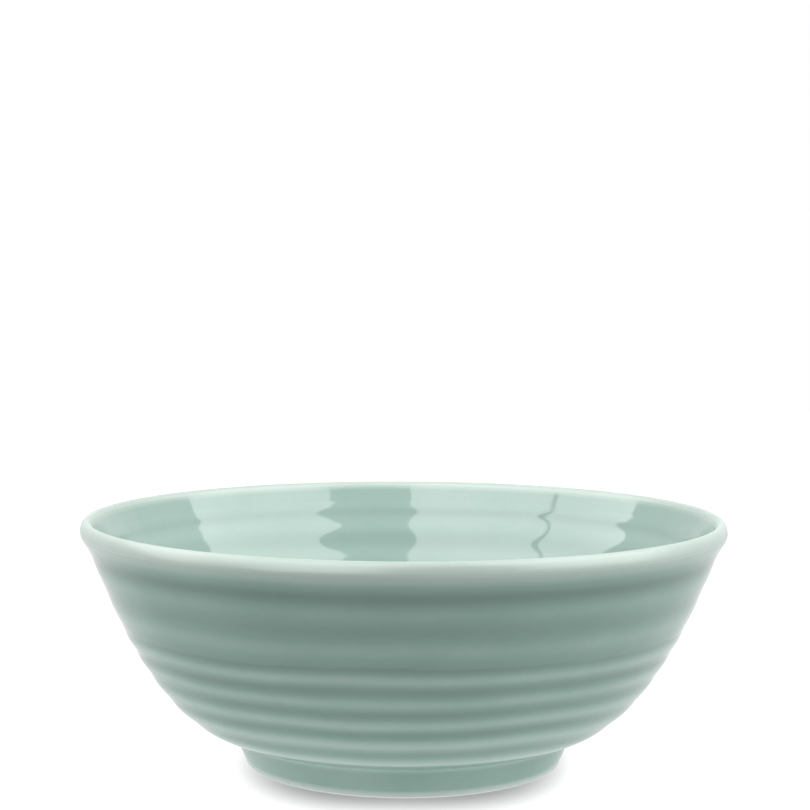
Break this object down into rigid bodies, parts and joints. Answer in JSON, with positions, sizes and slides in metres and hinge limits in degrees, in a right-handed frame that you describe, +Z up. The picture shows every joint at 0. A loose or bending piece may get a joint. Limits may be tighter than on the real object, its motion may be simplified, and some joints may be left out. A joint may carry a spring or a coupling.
{
  "type": "magnetic pin bowl",
  "caption": "Shallow thrown porcelain bowl on a foot ring, with a disc magnet glued in the recess underneath so that steel pins and needles stay in the bowl.",
  "frame": {"origin": "centre of the plane that the foot ring stands on", "axes": "+Z up along the bowl's axis of rotation, through the centre of the magnet; X and Y level"},
  "size_m": [0.116, 0.116, 0.0444],
  "materials": {
    "celadon_porcelain": "glossy pale green glaze, thin and pale on the lip and the foot ring",
    "nickel_plate": "satin nickel plate, slightly warm",
    "clear_adhesive": "clear, slightly yellow"
  },
  "bodies": {
    "root": {"bowl": "celadon_porcelain", "disc_magnet": "nickel_plate", "adhesive": "clear_adhesive"}
  },
  "joints": []
}
